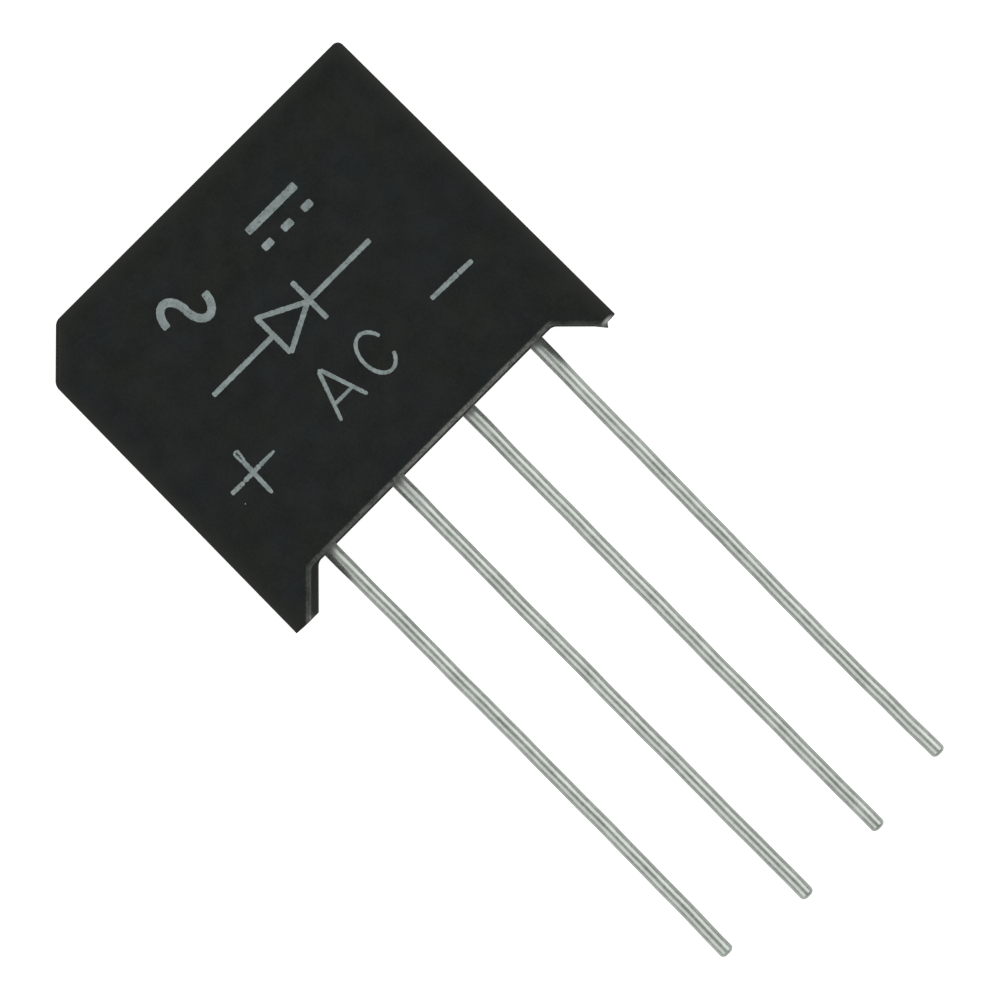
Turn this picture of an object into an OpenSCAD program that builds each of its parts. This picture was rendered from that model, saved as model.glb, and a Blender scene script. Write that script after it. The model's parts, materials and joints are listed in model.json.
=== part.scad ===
// Potted bridge rectifier with four in-line wire leads.
// It lies on its back: +Z is the printed front, +Y the closed top, and the leads run along -Y.
// The origin is the middle of the flat back face, halfway between the closed top and the rim.

/* [Case] */
// Width of the case across its closed top
case_top_w = 17.25; // [16.5:0.05:22]
// Height of the case from its closed top to the rim between the feet
case_h = 13.5; // [13:0.1:18]
// Thickness of the case at its closed top, back to front
case_top_t = 5.6; // [5:0.1:8]
// Draft of the side walls and the front wall, in degrees
draft = 0.5; // [0.2:0.1:1.5]
// Thickness of the walls and of the closed top
wall = 0.7; // [0.6:0.1:1.3]
// Rounding of the outer edges
edge_r = 0.25; // [0.1:0.05:0.4]
// Rounding of the edges inside the case
inner_r = 0.4; // [0.2:0.1:0.6]
// Leg of the chamfer that marks the positive corner
chamfer = 1.75; // [1.4:0.05:2.5]
// Rounding of the two corners at the ends of the chamfer
chamfer_r = 0.45; // [0.4:0.05:0.8]

/* [Feet] */
// Height of the two standoff feet below the rim
foot_h = 1.55; // [1:0.05:2.5]
// Width of the flat end of each foot
foot_flat_w = 0.6; // [0.4:0.05:1.5]
// Slope of the inner side of each foot, in degrees from the rim
foot_slope = 45; // [40:1:60]
// Fillet where each foot runs into the rim
foot_fillet = 0.35; // [0.1:0.05:0.6]

/* [Leads] */
// Distance between neighbouring leads
lead_pitch = 3.81; // [3.5:0.01:4.2]
// Diameter of the lead wire
lead_d = 0.65; // [0.6:0.05:0.9]
// Length of the positive lead below the rim
positive_free = 22.5; // [10:0.1:30]
// Length of the left AC lead below the rim
ac_left_free = 23.1; // [10:0.1:30]
// Length of the right AC lead below the rim
ac_right_free = 23.1; // [10:0.1:30]
// Length of the negative lead below the rim
negative_free = 22.7; // [10:0.1:30]
// Bevel round the cut end of each lead
tip_bevel = 0.12; // [0.05:0.01:0.2]
// Width of the flattened inner part of each lead
flat_w = 1.1; // [1:0.05:1.4]
// Thickness of the flattened inner part of each lead
flat_t = 0.3; // [0.24:0.01:0.32]
// Length over which a lead changes from round to flat
taper_l = 0.8; // [0.4:0.1:1]

/* [Diode chips] */
// Width of each square silicon chip
chip_w = 1.8; // [1.4:0.1:2]
// Thickness of each silicon chip
chip_t = 0.3; // [0.26:0.01:0.4]
// Thickness of the solder under a chip or a lead
solder_t = 0.12; // [0.1:0.01:0.16]
// Border left bare round each patch of solder
solder_border = 0.15; // [0.1:0.01:0.25]
// Height of the lower pair of chips above the rim
lower_row_up = 4.9; // [4.6:0.1:5.2]
// Distance from the lower pair of chips to the upper pair
row_pitch = 4.3; // [3.2:0.1:4.5]

/* [Copper parts] */
// Thickness of the plates and the straps
copper_t = 0.4; // [0.3:0.05:0.6]
// Width of each AC plate
plate_w = 2.4; // [2.1:0.1:2.8]
// Width of each strap, and length of the flat lead ends under them
strap_w = 1.8; // [1.4:0.1:2]
// Copper left beyond the outermost chip or lead
copper_margin = 0.3; // [0.1:0.05:0.5]
// Rounding of the corners of the plates and the straps
copper_r = 0.3; // [0.1:0.05:0.5]
// Gap between the end of an AC lead and the chip above it
lead_to_chip = 0.5; // [0.3:0.1:0.7]

/* [Potting] */
// Depth of the potting below the rim where it meets the walls
fill_drop = 0.08; // [0.02:0.02:0.3]
// Further depth of the dished surface at its middle
fill_dish = 0.18; // [0.05:0.01:0.3]
// Height to which the potting climbs each lead
collar_h = 0.45; // [0.35:0.05:0.6]
// Width of the climbing potting round each lead, at the surface
collar_w = 0.25; // [0.1:0.05:0.4]
// Thickness of the potting where it ends on a lead
collar_lip = 0.04; // [0.02:0.01:0.08]

/* [Hidden] */

// How far a cutting shape runs past what it cuts
past = 1;
// Steps round a full circle on the smooth outer shell
shell_steps = 24;
// Steps in one rounded corner of a flat outline
corner_steps = 6;

slope = tan(draft);
top_y = case_h / 2;
rim_y = -case_h / 2;
seat_y = rim_y - foot_h;
lead_z = front_z(rim_y) / 2;

// Leads 0 to 3 run from the positive corner to the negative one
lead_free = [positive_free, ac_left_free, ac_right_free, negative_free];

// Heights of the sandwich of copper, solder and silicon, from the back forwards
plate_front_z = lead_z - flat_t / 2 - solder_t;
chip_back_z = plate_front_z + solder_t;
chip_front_z = chip_back_z + chip_t;
strap_back_z = chip_front_z + solder_t;

// Two rows of chips, and the place where the AC leads end below them
lower_row_y = rim_y + lower_row_up;
upper_row_y = lower_row_y + row_pitch;
ac_end_y = lower_row_y - chip_w / 2 - lead_to_chip;
ac_flat_y = ac_end_y - strap_w / 2;
flat_mid_y = [upper_row_y, ac_flat_y, ac_flat_y, lower_row_y];

// Surface of the potting at the middle of its dish
dish_y = rim_y + fill_drop + fill_dish;
// Where the leads change from round wire to their flat, just behind the edge of the potting round them
press_y = dish_y - collar_h + collar_lip;

// Half the width of the case at a height y
function half_w(y) = case_top_w / 2 + (top_y - y) * slope;

// Height of the front face above the back face at a height y
function front_z(y) = case_top_t + (top_y - y) * slope;

function lead_x(i) = (i - 1.5) * lead_pitch;

function unit(v) = v / norm(v);

// One corner of an outline, rounded to the radius r
function corner(before, at, after, r) =
    let (
        u = unit(before - at),
        v = unit(after - at),
        half = acos(u * v) / 2,
        centre = at + unit(u + v) * r / sin(half),
        from = at + u * r / tan(half) - centre,
        turn = cross(u, v) > 0 ? 2 * half - 180 : 180 - 2 * half
    )
    [for (i = [0:corner_steps]) centre + turned(from, turn * i / corner_steps)];

function turned(v, a) = [v.x * cos(a) - v.y * sin(a), v.x * sin(a) + v.y * cos(a)];

// An outline with its corners rounded, each to its own radius
function rounded(points, radii) =
    let (n = len(points))
    [
        for (i = [0:n - 1])
            each radii[i] > 0
                ? corner(points[(i + n - 1) % n], points[i], points[(i + 1) % n], radii[i])
                : [points[i]]
    ];

// Front view of the case from its closed top down to the height low_y, moved in by inset.
// The chamfer moves in by the same amount, square to its own face.
function case_outline(inset, low_y) =
    let (
        high_y = top_y - inset,
        leg = chamfer - inset * (2 - sqrt(2))
    )
    [
        [half_w(low_y) - inset, low_y],
        [half_w(high_y) - inset, high_y],
        [inset + leg - half_w(high_y), high_y],
        [inset - half_w(high_y - leg), high_y - leg],
        [inset - half_w(low_y), low_y]
    ];

// Side view of the hollow in the case, as places along Y against heights above the back face
function cavity_side(low_y) = [
    [low_y, wall],
    [top_y - wall, wall],
    [top_y - wall, front_z(top_y - wall) - wall],
    [low_y, front_z(low_y) - wall]
];

// Rounding of one corner of the outer form: a ring of the corner's radius, round in section like the
// edges. It is a ball where both radii are the same.
module corner_ring(corner_r) {
    step = 360 / shell_steps;
    rotate_extrude($fn = shell_steps)
        polygon([for (a = [-90:step:90]) [corner_r - edge_r + edge_r * cos(a), edge_r * sin(a)]]);
}

// Solid outer form of the moulded case, with every outer edge rounded
module case_form() {
    low_y = seat_y - edge_r;
    corner_r = [edge_r, edge_r, chamfer_r, chamfer_r, edge_r];
    difference() {
        hull()
            for (i = [0:4]) {
                p = case_outline(corner_r[i], low_y)[i];
                translate([p.x, p.y, edge_r]) corner_ring(corner_r[i]);
                translate([p.x, p.y, front_z(p.y) - edge_r]) corner_ring(corner_r[i]);
            }
        translate([-case_top_w, seat_y - case_h, -past])
            cube([2 * case_top_w, case_h, 2 * case_top_t]);
    }
}

// The hollow of the case, drafted like its outside, down to the height low_y
module cavity_form(low_y) {
    intersection() {
        linear_extrude(2 * case_top_t)
            polygon(rounded(case_outline(wall, low_y), [0, inner_r, inner_r, inner_r, 0]));
        rotate([90, 0, 90])
            linear_extrude(2 * case_top_w, center = true)
                polygon(rounded(cavity_side(low_y), [0, inner_r, inner_r, 0]));
    }
}

// The gap between the feet, cut through the front and back walls
module foot_gap() {
    low_y = seat_y - past;
    rim_half = half_w(seat_y) - foot_flat_w - foot_h / tan(foot_slope);
    low_half = rim_half + (rim_y - low_y) / tan(foot_slope);
    outline = [[low_half, low_y], [rim_half, rim_y], [-rim_half, rim_y], [-low_half, low_y]];
    translate([0, 0, -past])
        linear_extrude(2 * case_top_t)
            polygon(rounded(outline, [0, foot_fillet, foot_fillet, 0]));
}

// Moulded cup, closed at the top and open between the feet
module case_shell() {
    color([0.15, 0.16, 0.16])
        difference() {
            case_form();
            cavity_form(seat_y - past);
            foot_gap();
        }
}

// Everything that the potting is poured round
module inner_parts() {
    for (i = [0:3]) {
        lead(i);
        lead_solder(i);
        chip(i);
        chip_solder(i, plate_front_z);
        chip_solder(i, chip_front_z);
    }
    for (i = [1, 2])
        ac_plate(i);
    positive_strap();
    negative_strap();
}

// Cast resin that fills the cup, dished between the walls and drawn up the leads
module potting_fill() {
    half_depth = front_z(rim_y) / 2 - wall;
    dish_r = (half_depth * half_depth + fill_dish * fill_dish) / (2 * fill_dish);
    color([0.1, 0.1, 0.11])
        difference() {
            union() {
                difference() {
                    cavity_form(rim_y + fill_drop);
                    translate([0, dish_y - dish_r, lead_z])
                        rotate([0, 90, 0])
                            cylinder(r = dish_r, h = 2 * case_top_w, center = true, $fn = 96);
                }
                for (i = [0:3])
                    translate([lead_x(i), dish_y + collar_h, lead_z])
                        rotate([90, 0, 0])
                            collar();
            }
            inner_parts();
        }
}

// Potting that climbs a lead, from a wide root below the surface to a thin lip above it
module collar() {
    cylinder(d1 = lead_d + 4 * collar_w, d2 = lead_d + 2 * collar_lip, h = 2 * collar_h, $fn = 96);
}

// Tinned wire lead i, with a bevelled free end. Inside the potting it is pressed flat, which keeps it
// from turning or being pulled out.
module lead(i) {
    tip_y = rim_y - lead_free[i];
    wide_y = press_y + taper_l;
    flat_high_y = flat_mid_y[i] + strap_w / 2;
    color([0.78, 0.79, 0.77])
        translate([lead_x(i), 0, lead_z]) {
            translate([0, tip_y + tip_bevel, 0])
                rotate([90, 0, 0])
                    cylinder(d1 = lead_d, d2 = lead_d - 2 * tip_bevel, h = tip_bevel, $fn = 96);
            translate([0, press_y, 0])
                rotate([90, 0, 0])
                    cylinder(d = lead_d, h = press_y - tip_y - tip_bevel, $fn = 96);
            translate([0, press_y, 0])
                rotate([-90, 0, 0])
                    cylinder(d1 = lead_d, d2 = flat_t / 2, h = taper_l, $fn = 96);
            translate([0, 0, -flat_t / 2])
                linear_extrude(flat_t)
                    polygon([
                        [-flat_t / 2, press_y], [flat_t / 2, press_y], [flat_w / 2, wide_y],
                        [flat_w / 2, flat_high_y], [-flat_w / 2, flat_high_y], [-flat_w / 2, wide_y]
                    ]);
        }
}

// Solder between the flat end of lead i and its plate or strap
module lead_solder(i) {
    is_ac = i == 1 || i == 2;
    low_z = is_ac ? plate_front_z : lead_z + flat_t / 2;
    high_z = is_ac ? lead_z - flat_t / 2 : strap_back_z;
    pad_w = flat_w - 2 * solder_border;
    pad_l = strap_w - 2 * solder_border;
    color([0.7, 0.71, 0.72])
        translate([lead_x(i) - pad_w / 2, flat_mid_y[i] - pad_l / 2, low_z])
            cube([pad_w, pad_l, high_z - low_z]);
}

// Chips 0 and 1 are the upper pair, chips 2 and 3 the lower pair
function chip_x(i) = lead_x(1 + i % 2);
function chip_y(i) = i < 2 ? upper_row_y : lower_row_y;

// Silicon chip with one diode junction
module chip(i) {
    color([0.35, 0.37, 0.42])
        translate([chip_x(i) - chip_w / 2, chip_y(i) - chip_w / 2, chip_back_z])
            cube([chip_w, chip_w, chip_t]);
}

// Disc of solder on one side of a chip
module chip_solder(i, low_z) {
    color([0.7, 0.71, 0.72])
        translate([chip_x(i), chip_y(i), low_z])
            cylinder(d = chip_w - 2 * solder_border, h = solder_t, $fn = 96);
}

// Flat copper piece with rounded corners between two opposite corners of its outline
module copper_piece(low, high, low_z) {
    outline = [low, [high.x, low.y], high, [low.x, high.y]];
    color([0.8, 0.5, 0.32])
        translate([0, 0, low_z])
            linear_extrude(copper_t)
                polygon(rounded(outline, [copper_r, copper_r, copper_r, copper_r]));
}

// Plate behind the two chips of AC lead i
module ac_plate(i) {
    copper_piece(
        [lead_x(i) - plate_w / 2, ac_flat_y - strap_w / 2],
        [lead_x(i) + plate_w / 2, upper_row_y + chip_w / 2 + copper_margin],
        plate_front_z - copper_t
    );
}

// Strap in front of the upper chips, from the positive lead to the farther chip
module positive_strap() {
    copper_piece(
        [lead_x(0) - flat_w / 2 - copper_margin, upper_row_y - strap_w / 2],
        [lead_x(2) + chip_w / 2 + copper_margin, upper_row_y + strap_w / 2],
        strap_back_z
    );
}

// Strap in front of the lower chips, from the farther chip to the negative lead
module negative_strap() {
    copper_piece(
        [lead_x(1) - chip_w / 2 - copper_margin, lower_row_y - strap_w / 2],
        [lead_x(3) + flat_w / 2 + copper_margin, lower_row_y + strap_w / 2],
        strap_back_z
    );
}

case_shell();
potting_fill();
lead(0);  // lead_positive
lead(1);  // lead_ac_left
lead(2);  // lead_ac_right
lead(3);  // lead_negative
ac_plate(1);  // ac_plate_left
ac_plate(2);  // ac_plate_right
positive_strap();
negative_strap();
chip(0);  // diode_chip_1
chip(1);  // diode_chip_2
chip(2);  // diode_chip_3
chip(3);  // diode_chip_4
chip_solder(0, plate_front_z);  // chip_solder_1_back
chip_solder(1, plate_front_z);  // chip_solder_2_back
chip_solder(2, plate_front_z);  // chip_solder_3_back
chip_solder(3, plate_front_z);  // chip_solder_4_back
chip_solder(0, chip_front_z);  // chip_solder_1_front
chip_solder(1, chip_front_z);  // chip_solder_2_front
chip_solder(2, chip_front_z);  // chip_solder_3_front
chip_solder(3, chip_front_z);  // chip_solder_4_front
lead_solder(0);  // lead_solder_positive
lead_solder(1);  // lead_solder_ac_left
lead_solder(2);  // lead_solder_ac_right
lead_solder(3);  // lead_solder_negative
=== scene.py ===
import json
import math
import random

import bmesh
import bpy
from mathutils import Matrix, Vector


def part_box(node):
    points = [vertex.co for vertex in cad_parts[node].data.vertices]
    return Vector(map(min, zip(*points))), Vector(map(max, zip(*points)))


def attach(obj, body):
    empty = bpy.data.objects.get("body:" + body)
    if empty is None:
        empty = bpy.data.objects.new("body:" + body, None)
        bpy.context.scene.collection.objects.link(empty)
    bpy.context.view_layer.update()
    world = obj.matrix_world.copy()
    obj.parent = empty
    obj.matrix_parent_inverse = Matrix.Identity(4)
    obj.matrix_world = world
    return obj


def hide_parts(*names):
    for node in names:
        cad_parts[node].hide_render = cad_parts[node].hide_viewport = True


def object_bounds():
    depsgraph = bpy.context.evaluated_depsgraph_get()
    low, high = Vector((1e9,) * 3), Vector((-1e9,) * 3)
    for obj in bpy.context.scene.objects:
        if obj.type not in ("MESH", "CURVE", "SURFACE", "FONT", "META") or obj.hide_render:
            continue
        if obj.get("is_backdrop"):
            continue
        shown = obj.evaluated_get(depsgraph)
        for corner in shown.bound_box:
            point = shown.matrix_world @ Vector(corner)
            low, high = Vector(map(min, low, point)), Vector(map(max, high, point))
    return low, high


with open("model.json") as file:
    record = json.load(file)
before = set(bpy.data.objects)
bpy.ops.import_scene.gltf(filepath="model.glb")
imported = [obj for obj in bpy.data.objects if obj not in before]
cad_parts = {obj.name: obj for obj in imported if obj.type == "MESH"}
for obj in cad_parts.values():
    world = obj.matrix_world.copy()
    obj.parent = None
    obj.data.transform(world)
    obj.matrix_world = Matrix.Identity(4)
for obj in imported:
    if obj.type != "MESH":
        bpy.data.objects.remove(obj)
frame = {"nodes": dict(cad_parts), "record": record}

mm = 0.001
cadLow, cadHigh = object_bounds()
caseLow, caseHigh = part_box("case_shell")
draft = math.radians(0.5)
longer = 0.05 * mm                                # the cup came out a little longer than drawn at both ends
rimY = -caseHigh.y                                # the rim and the top lie equally far from the middle
seatY = caseLow.y - longer
topY = caseHigh.y + longer
frontTopZ = caseHigh.z - (topY - caseLow.y) * math.tan(draft)
leadNodes = ["lead_positive", "lead_ac_left", "lead_ac_right", "lead_negative"]
print("frame loaded, case", [round(v / mm, 2) for v in caseHigh - caseLow], "mm")


caseShape = {
    "chamfer": 1.75 * mm,
    "topCornerRadius": 0.27 * mm,
    "chamferRadius": 0.45 * mm,
    "edgeRadius": 0.22 * mm,
    "wall": 0.7 * mm,
    "insideRadius": 0.4 * mm,
    "footFlat": 0.6 * mm,
    "footFillet": 0.35 * mm,
    "gapWider": 0.06 * mm,                        # how much wider to each side the gap came out
    "gapOffset": 0.06 * mm,                       # how far the gap lies towards the negative side
    "gapDrop": 0.17 * mm,                         # and how much lower than drawn its top came out
    "gapLean": 0.35,                              # degrees, rim and feet are higher at the negative side
    "frontEdge": 0.18 * mm,                       # rounding of the front wall along the gap
    "cutEdge": 0.04 * mm,                         # and of the edges of the back wall there
    "burrSize": 0.32 * mm,                        # flash at the inner corner of the negative foot
    "burrReach": 0.19 * mm,
}


def deselectAll():
    if bpy.context.object and bpy.context.object.mode != "OBJECT":
        bpy.ops.object.mode_set(mode="OBJECT")
    bpy.ops.object.select_all(action="DESELECT")


def makeActive(piece):
    deselectAll()
    piece.select_set(True)
    bpy.context.view_layer.objects.active = piece


def startEdit(piece, kind="VERT"):
    makeActive(piece)
    bpy.ops.object.mode_set(mode="EDIT")
    bpy.ops.mesh.select_mode(type=kind)
    bpy.ops.mesh.select_all(action="DESELECT")


def endEdit():
    bpy.ops.object.mode_set(mode="OBJECT")


def pick(piece, kind, test):  # selects what passes the test, and nothing else
    mesh = bmesh.from_edit_mesh(piece.data)
    for group in (mesh.verts, mesh.edges, mesh.faces):
        for item in group:
            item.select = False
    found = [item for item in getattr(mesh, kind) if test(item)]
    for item in found:
        item.select_set(True)
    if kind != "verts":
        mesh.select_flush_mode()
    bmesh.update_edit_mesh(piece.data)


def middle(item):
    return sum((v.co for v in item.verts), Vector()) / len(item.verts)


def addBlock(name, low, high):  # a cube stretched between two corners
    deselectAll()
    bpy.ops.mesh.primitive_cube_add(size=1, location=(low + high) / 2)
    block = bpy.context.object
    block.name = name
    block.scale = high - low
    bpy.ops.object.transform_apply(location=True, rotation=True, scale=True)
    return block


def applyModifier(piece, kind, **values):
    makeActive(piece)
    modifier = piece.modifiers.new(kind.title(), kind)
    for key, value in values.items():
        setattr(modifier, key, value)
    bpy.ops.object.modifier_apply(modifier=modifier.name)


def cutAway(piece, cutter):
    applyModifier(piece, "BOOLEAN", operation="DIFFERENCE", solver="EXACT", object=cutter)
    bpy.data.objects.remove(cutter)


def facesOutward(piece):  # merges doubled points and turns every face outward
    startEdit(piece)
    bpy.ops.mesh.select_all(action="SELECT")
    bpy.ops.mesh.remove_doubles(threshold=1e-7)
    bpy.ops.mesh.normals_make_consistent(inside=False)
    if bmesh.from_edit_mesh(piece.data).calc_volume(signed=True) < 0:
        bpy.ops.mesh.flip_normals()
    endEdit()


def smoothByAngle(piece, degrees):
    makeActive(piece)
    bpy.ops.object.shade_smooth_by_angle(angle=math.radians(degrees))


def finishPiece(piece, name, material, replaced=()):
    piece.name = name
    piece.data.name = name
    piece.data.materials.clear()
    piece.data.materials.append(material)
    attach(piece, "root")
    if replaced:
        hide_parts(*replaced)
    return piece


def addNode(tree, kind, place=(0, 0), **values):
    node = tree.nodes.new(kind)
    node.location = place
    for key, value in values.items():
        setattr(node, key, value)
    return node


def newGroup(name, inputs, outputs):  # inputs are (name, kind, default)
    group = bpy.data.node_groups.new(name, "ShaderNodeTree")
    for label, kind, start in inputs:
        socket = group.interface.new_socket(name=label, in_out="INPUT", socket_type=kind)
        if start is not None:
            socket.default_value = start
    for label in outputs:
        group.interface.new_socket(name=label, in_out="OUTPUT", socket_type="NodeSocketFloat")
    source = addNode(group, "NodeGroupInput", (-900, 0))
    target = addNode(group, "NodeGroupOutput", (900, 0))
    return group, source, target


def noiseNode(tree, place, scale, detail=2.0, roughness=0.5):
    node = addNode(tree, "ShaderNodeTexNoise", place)
    node.inputs["Scale"].default_value = scale
    node.inputs["Detail"].default_value = detail
    node.inputs["Roughness"].default_value = roughness
    return node


def mathNode(tree, operation, place, first=None, second=None):
    node = addNode(tree, "ShaderNodeMath", place, operation=operation)
    for socket, value in zip(node.inputs, (first, second)):
        if value is None:
            continue
        if isinstance(value, (int, float)):
            socket.default_value = value
        else:
            tree.links.new(value, socket)
    return node.outputs[0]


def rangeNode(tree, place, value, fromLow, fromHigh, toLow=0.0, toHigh=1.0, smooth=False):
    node = addNode(tree, "ShaderNodeMapRange", place)
    node.interpolation_type = "SMOOTHSTEP" if smooth else "LINEAR"
    tree.links.new(value, node.inputs["Value"])
    limits = {"From Min": fromLow, "From Max": fromHigh, "To Min": toLow, "To Max": toHigh}
    for label, number in limits.items():
        node.inputs[label].default_value = number
    return node.outputs["Result"]


def mixColour(tree, place, factor, first, second, blend="MIX"):
    node = addNode(tree, "ShaderNodeMix", place, data_type="RGBA", blend_type=blend)
    for socket, value in zip((node.inputs[0], node.inputs[6], node.inputs[7]), (factor, first, second)):
        if isinstance(value, (int, float)):
            socket.default_value = value
        elif isinstance(value, (tuple, list)):
            socket.default_value = (*value, 1.0)
        else:
            tree.links.new(value, socket)
    return node.outputs[2]


def newMaterial(name):
    material = bpy.data.materials.new(name)
    material.use_nodes = True
    tree = material.node_tree
    shader = tree.nodes["Principled BSDF"]
    place = addNode(tree, "ShaderNodeTexCoord", (-1300, 0)).outputs["Object"]
    return material, tree, shader, place


def unevenGloss(tree, shader, value, roughness, less, more):  # roughness that follows a tone
    rough = rangeNode(tree, (-400, -100), value, 0.3, 0.7, roughness - less, roughness + more)
    tree.links.new(rough, shader.inputs["Roughness"])


def addBump(tree, shader, height, distance):
    bump = addNode(tree, "ShaderNodeBump", (-200, -400))
    bump.inputs["Distance"].default_value = distance
    tree.links.new(height, bump.inputs["Height"])
    tree.links.new(bump.outputs["Normal"], shader.inputs["Normal"])


def buildMottle():  # uneven tone at two sizes, round 0.5
    group, source, target = newGroup(
        "unevenTone",
        [("Vector", "NodeSocketVector", None), ("Coarse", "NodeSocketFloat", 600.0),
         ("Fine", "NodeSocketFloat", 5000.0), ("Fine Share", "NodeSocketFloat", 0.5)],
        ["Tone", "Fine Tone"],
    )
    coarse = noiseNode(group, (-500, 150), 600, 3)
    fine = noiseNode(group, (-500, -150), 5000, 2, 0.6)
    link = group.links.new
    link(source.outputs["Vector"], coarse.inputs["Vector"])
    link(source.outputs["Coarse"], coarse.inputs["Scale"])
    link(source.outputs["Vector"], fine.inputs["Vector"])
    link(source.outputs["Fine"], fine.inputs["Scale"])
    both = addNode(group, "ShaderNodeMix", (0, 0), data_type="FLOAT")
    link(source.outputs["Fine Share"], both.inputs[0])
    link(coarse.outputs["Fac"], both.inputs[2])
    link(fine.outputs["Fac"], both.inputs[3])
    link(both.outputs[0], target.inputs["Tone"])
    link(fine.outputs["Fac"], target.inputs["Fine Tone"])
    return group


unevenTone = buildMottle()


def addTone(tree, place, coarse, fine, share, at=(-900, 0)):  # coarse and fine are per metre
    node = addNode(tree, "ShaderNodeGroup", at)
    node.node_tree = unevenTone
    tree.links.new(place, node.inputs["Vector"])
    node.inputs["Coarse"].default_value = coarse
    node.inputs["Fine"].default_value = fine
    node.inputs["Fine Share"].default_value = share
    return node


def frontZ(y):
    return frontTopZ + (topY - y) * math.tan(draft)


def halfWidth(y):
    return caseHigh.x - (y - seatY) * math.tan(draft)


caseFinish = {
    "dark": (0.0084, 0.0117, 0.0107),
    "light": (0.0172, 0.0207, 0.0196),
    "tints": ((1.08, 1.0, 0.90), (0.93, 1.02, 1.05)),
    "tintSize": 620.0,
    "edge": (0.0270, 0.0290, 0.0235),             # painted highlight: the rounded edges of the outline are coloured paler
    "outlineHighlightReach": 0.75 * mm,
    "outlineHighlightFall": 1.8,                              # how steeply the paleness falls off
    "rimHighlight": (0.082, 0.084, 0.075),           # dull face where the wall ends, coloured paler as a painted highlight
    "rimBand": (0.01 * mm, 0.05 * mm),            # how far from the gap it fades
    "wearAndHighlight": (0.245, 0.253, 0.234),                # front edge along the gap, coloured paler as a painted highlight
    "gapHighlightBand": (0.12 * mm, 0.20 * mm),           # fades this far from the gap
    "gapHighlightDepth": (0.15 * mm, 0.20 * mm),          # and this deep below the front
    "gapHighlightMost": 2.0 * mm,                         # most of all at this x
    "gapHighlightFade": (1.5 * mm, 8 * mm),               # and less to both sides of it
    "gapHighlightLeast": 0.38,
    "gapHighlightPatches": (0.40, 0.58, 0.25, 1.0),       # tone from and to, highlight from and to
    "footSlope": (6.2 * mm, 6.9 * mm),            # x where the slope of the negative foot starts
    "gapHighlightOnFoot": 0.3,                              # share of the painted highlight left on it
    "inside": (0.066, 0.071, 0.062),              # painted light on the inner walls of the feet, which lie in shade
    "insideFrom": (0.60 * mm, 0.66 * mm),         # depth under the outside where it starts
    "footTipHighlight": (0.50, 0.51, 0.49),                # painted highlights at the inner ends of the feet
    "tipAt": (7.93 * mm, 8.28 * mm),              # their distance from the middle, at -X and at +X
    "tipSqueeze": (1.0, 0.38),                    # the one at +X is stretched sideways
    "tipMost": 0.9,
    "tipBand": (0.03 * mm, 0.14 * mm),
    "tipDepth": (0.3 * mm, 0.8 * mm),
    "tone": (900.0, 9000.0, 0.45),                # blotches, grain, share of the grain
    "roughness": 0.6,
    "specular": 0.22,
    "grainDepth": 0.004 * mm,
}


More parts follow.
